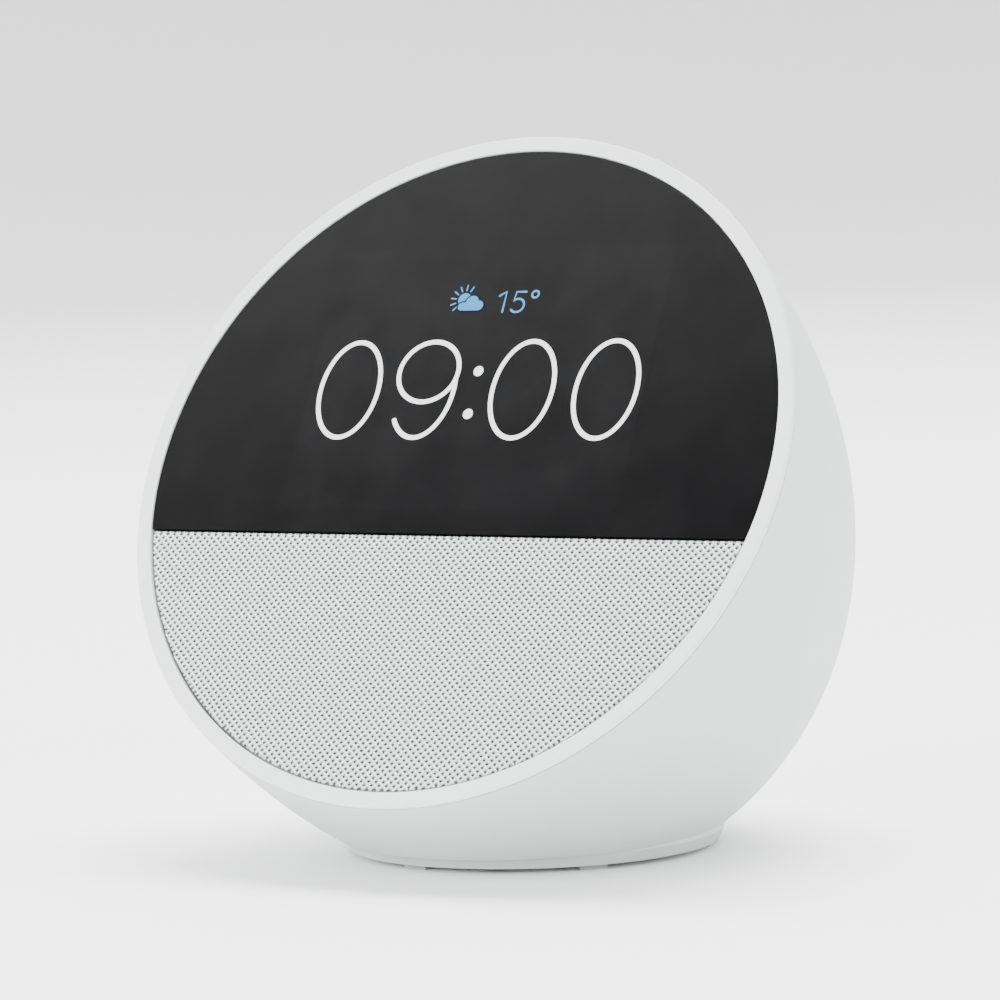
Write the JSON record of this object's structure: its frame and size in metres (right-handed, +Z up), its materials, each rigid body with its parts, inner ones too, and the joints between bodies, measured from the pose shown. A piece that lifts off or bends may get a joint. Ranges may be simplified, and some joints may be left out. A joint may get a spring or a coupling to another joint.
{
  "type": "smart display",
  "caption": "Compact bedside smart display: a leaning round face with a black glass screen above a fabric speaker panel, on an egg-shaped white body with a small round base.",
  "frame": {"origin": "on the surface it stands on, under the middle of the round base", "axes": "+Z up, the face looks towards -Y and leans back, +X to the right of someone who looks at the face"},
  "size_m": [0.113, 0.0972, 0.1109],
  "materials": {
    "aluminium": "satin",
    "backlight_tray": "matte",
    "base_plastic": "matte",
    "basket_plastic": "matte",
    "black_tape": "matte",
    "board": "satin",
    "chassis_plastic": "matte",
    "chip": "matte",
    "cone_paper": "matte",
    "connector": "satin",
    "copper": "satin",
    "cover_glass": "gloss",
    "display_panel": "gloss",
    "foam": "matte",
    "foot_rubber": "matte",
    "grille_plastic": "matte",
    "lead_sleeve": "satin",
    "magnet": "matte",
    "ribbon": "satin",
    "screw_steel": "satin",
    "speaker_fabric": "woven",
    "spider_cloth": "woven",
    "steel": "satin",
    "surround_rubber": "satin",
    "touch_film": "gloss",
    "weight_iron": "matte",
    "white_bezel": "satin",
    "white_button": "satin",
    "white_shell": "satin"
  },
  "bodies": {
    "housing": {"base_plate": "base_plastic", "base_screws": "screw_steel", "base_weight": "weight_iron", "board_connectors": "connector", "board_screws": "screw_steel", "button_board": "board", "button_board_screws": "screw_steel", "button_flex": "ribbon", "button_switches": "chip", "chassis": "chassis_plastic", "chassis_screws": "screw_steel", "cover_glass": "cover_glass", "display_backlight": "backlight_tray", "display_bracket": "steel", "display_flex": "ribbon", "display_panel": "display_panel", "foot_pads": "foot_rubber", "front_bezel": "white_bezel", "heat_spreader": "aluminium", "lens_adhesive": "black_tape", "main_board": "board", "main_chips": "chip", "microphone_seals": "foam", "microphones": "steel", "power_board": "board", "power_board_screws": "screw_steel", "power_jack": "connector", "power_lead": "lead_sleeve", "power_parts": "chip", "rear_shell": "white_shell", "shield_can": "steel", "speaker_basket": "basket_plastic", "speaker_chamber": "chassis_plastic", "speaker_fabric": "speaker_fabric", "speaker_gasket": "foam", "speaker_grille": "grille_plastic", "speaker_leads": "lead_sleeve", "speaker_magnet": "magnet", "speaker_screws": "screw_steel", "speaker_spider": "spider_cloth", "speaker_surround": "surround_rubber", "speaker_terminals": "board", "speaker_top_plate": "steel", "speaker_yoke": "steel", "thermal_pad": "foam", "touch_sensor": "touch_film", "wifi_antenna": "board"},
    "speaker_diaphragm": {"speaker_cone": "cone_paper", "speaker_dust_cap": "cone_paper", "speaker_voice_coil": "copper"},
    "volume_down_key": {"volume_down_button": "white_button"},
    "mute_key": {"mute_button": "white_button"},
    "volume_up_key": {"volume_up_button": "white_button"}
  },
  "joints": [
    {"name": "diaphragm_travel", "type": "slide", "parent": "housing", "child": "speaker_diaphragm", "axis": [0, -0.8712, 0.4909], "range_m": [-0.001, 0.001], "stiffness_N_per_m": 1200, "deforming": ["speaker_surround", "speaker_spider"]},
    {"name": "volume_down_press", "type": "slide", "parent": "housing", "child": "volume_down_key", "axis": [0, 0.7008, 0.7133], "range_m": [-0.0005, 0], "stiffness_N_per_m": 1500},
    {"name": "mute_press", "type": "slide", "parent": "housing", "child": "mute_key", "axis": [0, 0.7008, 0.7133], "range_m": [-0.0005, 0], "stiffness_N_per_m": 1500},
    {"name": "volume_up_press", "type": "slide", "parent": "housing", "child": "volume_up_key", "axis": [0, 0.7008, 0.7133], "range_m": [-0.0005, 0], "stiffness_N_per_m": 1500}
  ]
}
